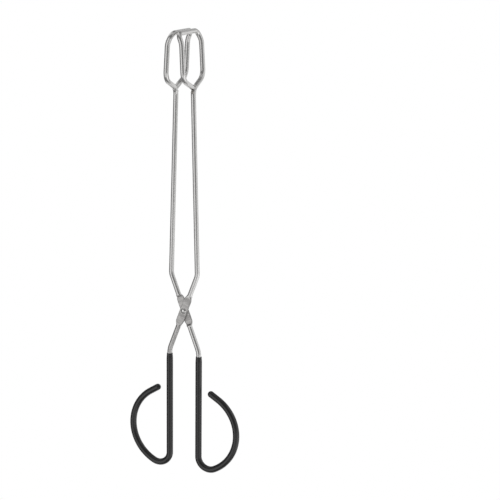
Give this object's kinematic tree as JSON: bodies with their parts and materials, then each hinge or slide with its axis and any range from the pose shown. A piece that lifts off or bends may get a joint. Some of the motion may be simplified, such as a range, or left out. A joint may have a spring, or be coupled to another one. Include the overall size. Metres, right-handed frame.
{
  "type": "jar lifter",
  "caption": "Scissor-type wire tongs with looped jaws, a riveted crossing and open, coated finger loops for lifting hot jars.",
  "frame": {"origin": "on the tool's long axis, level with the lowest points of the two finger loops", "axes": "+Z along the tool from the finger loops to the jaws, X across the handles, Y along the rivet with the front arm's crossing plate towards -Y"},
  "size_m": [0.103, 0.0432, 0.3785],
  "materials": {
    "stainless_wire": "drawn and polished",
    "weld": "dull",
    "rivet": "bright",
    "grip": "semi-gloss dip coating"
  },
  "bodies": {
    "front_half": {"front_arm": "stainless_wire", "front_jaw_weld": "weld", "pivot_rivet": "rivet", "front_grip_sleeve": "grip"},
    "rear_half": {"rear_arm": "stainless_wire", "rear_jaw_weld": "weld", "rear_grip_sleeve": "grip"}
  },
  "joints": [
    {"name": "pivot", "type": "hinge", "parent": "front_half", "child": "rear_half", "pos_m": [0, 0, 0.1418], "axis": [0, -1, 0], "range_deg": [-0.2, 40]}
  ]
}
